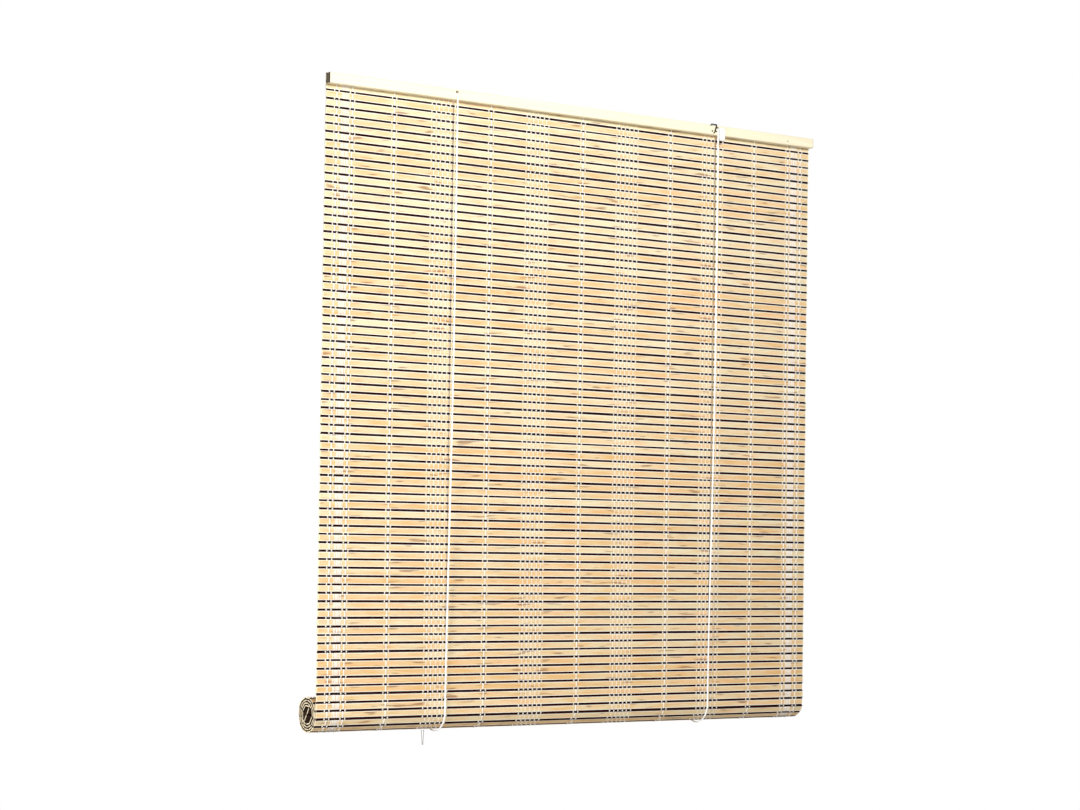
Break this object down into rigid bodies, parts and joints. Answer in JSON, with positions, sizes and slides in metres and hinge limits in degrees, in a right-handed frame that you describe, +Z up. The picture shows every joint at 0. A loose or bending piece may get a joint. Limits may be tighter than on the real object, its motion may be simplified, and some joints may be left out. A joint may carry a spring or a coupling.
{
  "type": "wooden roll-up blind",
  "caption": "Natural bamboo slat roll-up blind on a pine headrail, partly lowered, its spare mat rolled up behind the lower edge in two white lift cords.",
  "frame": {"origin": "centre of the headrail's top face, midway between its two screw holes", "axes": "+X to the right along the headrail as seen from the room, +Y away from the room towards the roll, +Z up"},
  "size_m": [0.9, 0.0771, 0.9482],
  "materials": {
    "pine": "smooth unvarnished pale pine",
    "bamboo": "natural split bamboo, fine grain and nodes",
    "warp_thread": "twisted white cotton thread",
    "lift_cord": "braided white cord",
    "steel": "plain steel tacks",
    "white_plastic": "white moulded plastic",
    "aged_brass": "darkened brass wire"
  },
  "bodies": {
    "blind": {"headrail": "pine", "tacks": "steel", "upper_slats": "bamboo", "top_threads": "warp_thread", "hanging_slats": "bamboo", "hanging_threads_01": "warp_thread", "hanging_threads_02": "warp_thread", "hanging_threads_03": "warp_thread", "hanging_threads_04": "warp_thread", "hanging_threads_05": "warp_thread", "hanging_threads_06": "warp_thread", "hanging_threads_07": "warp_thread", "hanging_threads_08": "warp_thread", "hanging_threads_09": "warp_thread", "hanging_threads_10": "warp_thread", "hanging_threads_11": "warp_thread", "top_cord_left": "lift_cord", "top_cord_right": "lift_cord", "front_cord_left": "lift_cord", "front_cord_right": "lift_cord", "rear_cord_left": "lift_cord", "rear_cord_right": "lift_cord", "cord_lock": "white_plastic", "cord_hook": "aged_brass", "hook_pins": "aged_brass"},
    "slings": {"cord_sling_left": "lift_cord", "cord_sling_right": "lift_cord"},
    "roll": {"rolled_slats": "bamboo", "rolled_threads_01": "warp_thread", "rolled_threads_02": "warp_thread", "rolled_threads_03": "warp_thread", "rolled_threads_04": "warp_thread", "rolled_threads_05": "warp_thread", "rolled_threads_06": "warp_thread", "rolled_threads_07": "warp_thread", "rolled_threads_08": "warp_thread", "rolled_threads_09": "warp_thread", "rolled_threads_10": "warp_thread", "rolled_threads_11": "warp_thread"}
  },
  "joints": [
    {"name": "roll_lift", "type": "slide", "parent": "blind", "child": "slings", "axis": [0, 0, 1], "range_m": [0, 0.84], "deforming": ["hanging_slats", "hanging_threads_01", "hanging_threads_02", "hanging_threads_03", "hanging_threads_04", "hanging_threads_05", "hanging_threads_06", "hanging_threads_07", "hanging_threads_08", "hanging_threads_09", "hanging_threads_10", "hanging_threads_11", "front_cord_left", "front_cord_right", "rear_cord_left", "rear_cord_right"]},
    {"name": "roll_turn", "type": "hinge", "parent": "slings", "child": "roll", "pos_m": [0, 0.03289, -0.9171], "axis": [1, 0, 0], "range_deg": [0, 1800]}
  ],
  "couplings": [
    {"joint": "roll_turn", "follows": "roll_lift", "rad_per_m": 37.4}
  ]
}
